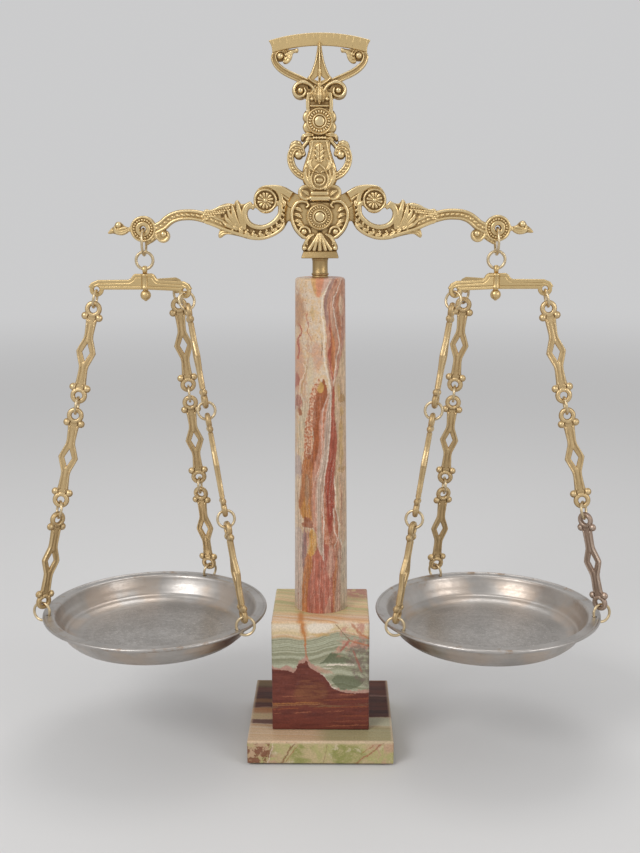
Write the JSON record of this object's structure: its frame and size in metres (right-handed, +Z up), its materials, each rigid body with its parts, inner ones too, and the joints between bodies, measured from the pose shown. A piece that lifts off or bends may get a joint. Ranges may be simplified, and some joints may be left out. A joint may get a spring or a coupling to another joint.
{
  "type": "balance scale",
  "caption": "Two-pan balance on an onyx pillar, with an ornate brass beam that tilts, a pointer and arc, and pans on chains.",
  "frame": {"origin": "centre of the resting face under the base slab", "axes": "+Z up along the pillar, +X to the right along the beam, -Y is the front"},
  "size_m": [0.4846, 0.1895, 0.5813],
  "materials": {
    "onyx_slab": "polished banded onyx, cream and green with maroon patches",
    "onyx_block": "polished banded onyx, maroon below and grey-green above",
    "onyx_column": "polished banded onyx, upright wavy bands of cream, salmon and rust",
    "felt": "dark green felt",
    "brass": "satin cast brass with dark recesses and rubbed high points",
    "link_brass": "dull stamped brass, slightly brown",
    "ring_wire": "pale drawn wire",
    "pan_metal": "spun and tarnished, brushed in rings",
    "steel": "plain turned steel"
  },
  "bodies": {
    "stand": {"base_felt": "felt", "base_slab": "onyx_slab", "plinth_block": "onyx_block", "column": "onyx_column", "tie_rod": "steel", "tie_washer": "steel", "tie_nut": "steel", "neck_post": "brass", "foot_plate": "brass", "head_back": "brass", "head_front": "brass", "rosette_front": "brass", "rosette_back": "brass", "rosette_upper": "brass", "bush_front": "brass", "bush_back": "brass", "spacer_sleeves": "brass", "head_screws": "brass", "lyre_frame": "brass", "index_arc": "brass", "arc_rivets": "brass"},
    "beam": {"beam": "brass", "pivot_pin": "steel", "pointer": "brass", "pointer_screws": "brass"},
    "hook_left": {"hook_ring_left": "ring_wire"},
    "ring_left": {"suspension_ring_left": "ring_wire"},
    "stem_left": {"yoke_stem_left": "brass"},
    "pan_set_left": {"yoke_left": "brass", "pan_left": "pan_metal", "chain_rings_left": "ring_wire", "link_left_outer_1": "link_brass", "link_left_outer_2": "link_brass", "link_left_outer_3": "link_brass", "link_left_front_1": "link_brass", "link_left_front_2": "link_brass", "link_left_front_3": "link_brass", "link_left_back_1": "link_brass", "link_left_back_2": "link_brass", "link_left_back_3": "link_brass"},
    "hook_right": {"hook_ring_right": "ring_wire"},
    "ring_right": {"suspension_ring_right": "ring_wire"},
    "stem_right": {"yoke_stem_right": "brass"},
    "pan_set_right": {"yoke_right": "brass", "pan_right": "pan_metal", "chain_rings_right": "ring_wire", "link_right_outer_1": "link_brass", "link_right_outer_2": "link_brass", "link_right_outer_3": "link_brass", "link_right_front_1": "link_brass", "link_right_front_2": "link_brass", "link_right_front_3": "link_brass", "link_right_back_1": "link_brass", "link_right_back_2": "link_brass", "link_right_back_3": "link_brass"}
  },
  "joints": [
    {"name": "beam_tilt", "type": "hinge", "parent": "stand", "child": "beam", "pos_m": [0, 0, 0.4418], "axis": [0, 1, 0], "range_deg": [-6, 6]},
    {"name": "hook_swing_left", "type": "hinge", "parent": "beam", "child": "hook_left", "pos_m": [-0.141, 0, 0.4327], "axis": [0, 1, 0], "range_deg": [-7, 7]},
    {"name": "pan_swing_out_left", "type": "hinge", "parent": "hook_left", "child": "ring_left", "pos_m": [-0.141, 0, 0.4119], "axis": [0, 1, 0], "range_deg": [-0.6, 15]},
    {"name": "pan_swing_front_left", "type": "hinge", "parent": "ring_left", "child": "stem_left", "pos_m": [-0.141, 0, 0.4009], "axis": [1, 0, 0], "range_deg": [-12, 12]},
    {"name": "yoke_turn_left", "type": "hinge", "parent": "stem_left", "child": "pan_set_left", "pos_m": [-0.141, 0, 0.39], "axis": [0, 0, 1], "range_deg": [-20, 20]},
    {"name": "hook_swing_right", "type": "hinge", "parent": "beam", "child": "hook_right", "pos_m": [0.141, 0, 0.4327], "axis": [0, 1, 0], "range_deg": [-7, 7]},
    {"name": "pan_swing_out_right", "type": "hinge", "parent": "hook_right", "child": "ring_right", "pos_m": [0.141, 0, 0.4119], "axis": [0, -1, 0], "range_deg": [-0.6, 15]},
    {"name": "pan_swing_front_right", "type": "hinge", "parent": "ring_right", "child": "stem_right", "pos_m": [0.141, 0, 0.4009], "axis": [1, 0, 0], "range_deg": [-12, 12]},
    {"name": "yoke_turn_right", "type": "hinge", "parent": "stem_right", "child": "pan_set_right", "pos_m": [0.141, 0, 0.39], "axis": [0, 0, 1], "range_deg": [-20, 20]}
  ],
  "couplings": [
    {"joint": "hook_swing_left", "follows": "beam_tilt", "ratio": -1},
    {"joint": "hook_swing_right", "follows": "beam_tilt", "ratio": -1}
  ]
}
